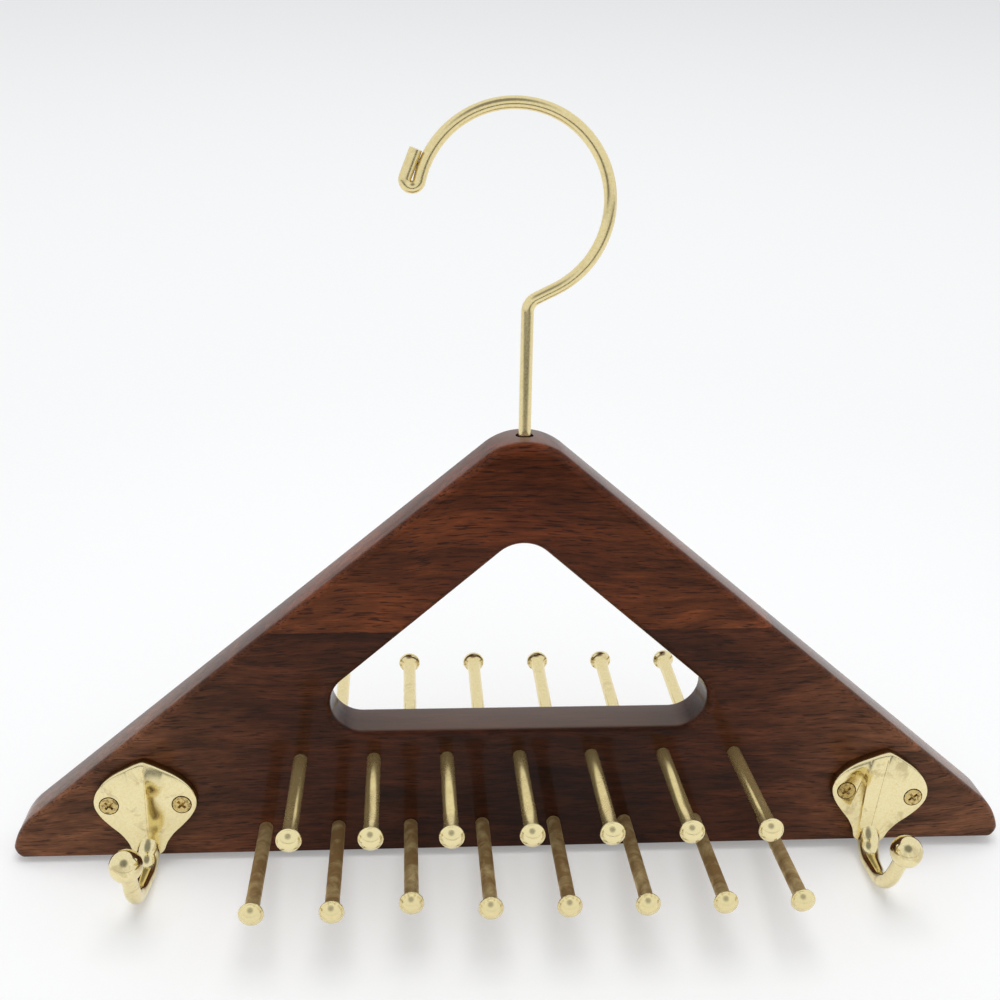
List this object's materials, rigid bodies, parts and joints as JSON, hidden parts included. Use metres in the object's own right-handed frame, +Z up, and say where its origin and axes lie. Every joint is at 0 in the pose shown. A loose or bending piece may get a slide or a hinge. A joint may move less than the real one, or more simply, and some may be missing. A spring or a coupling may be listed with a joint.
{
  "type": "tie hanger",
  "caption": "Triangular wooden hanger with a swivelling wire hook, headed brass pegs on both faces for ties, and a small coat hook near each tip.",
  "frame": {"origin": "on the hook's swivel axis, level with the lowest point of the coat hooks' arms", "axes": "+X to the right along the board, seen from the side with the coat hooks; +Y from that front face to the back; +Z up along the hook's stem"},
  "size_m": [0.3542, 0.131, 0.2643],
  "materials": {
    "upper_wood": "gloss lacquer over red-brown stained hardwood",
    "lower_wood": "gloss lacquer over dark brown stained hardwood",
    "hook_wire": "bright brass plating",
    "washer": "plain brass",
    "pegs": "brass, bright on the heads and dulled on the rods",
    "coat_hooks": "polished pale brass plating",
    "screws": "polished pale brass plating"
  },
  "bodies": {
    "board": {"upper_plank": "upper_wood", "lower_plank": "lower_wood", "swivel_washer": "washer", "front_peg_01": "pegs", "front_peg_02": "pegs", "front_peg_03": "pegs", "front_peg_04": "pegs", "front_peg_05": "pegs", "front_peg_06": "pegs", "front_peg_07": "pegs", "front_peg_08": "pegs", "front_peg_09": "pegs", "front_peg_10": "pegs", "front_peg_11": "pegs", "front_peg_12": "pegs", "front_peg_13": "pegs", "front_peg_14": "pegs", "front_peg_15": "pegs", "back_peg_01": "pegs", "back_peg_02": "pegs", "back_peg_03": "pegs", "back_peg_04": "pegs", "back_peg_05": "pegs", "back_peg_06": "pegs", "back_peg_07": "pegs", "back_peg_08": "pegs", "back_peg_09": "pegs", "back_peg_10": "pegs", "back_peg_11": "pegs", "back_peg_12": "pegs", "back_peg_13": "pegs", "back_peg_14": "pegs", "back_peg_15": "pegs", "left_coat_hook": "coat_hooks", "right_coat_hook": "coat_hooks", "left_hook_screw_1": "screws", "left_hook_screw_2": "screws", "right_hook_screw_1": "screws", "right_hook_screw_2": "screws"},
    "hook": {"wire_hook": "hook_wire"}
  },
  "joints": [
    {"name": "hook_swivel", "type": "hinge", "parent": "board", "child": "hook", "pos_m": [0, 0, 0.14], "axis": [0, 0, 1], "continuous": true}
  ]
}
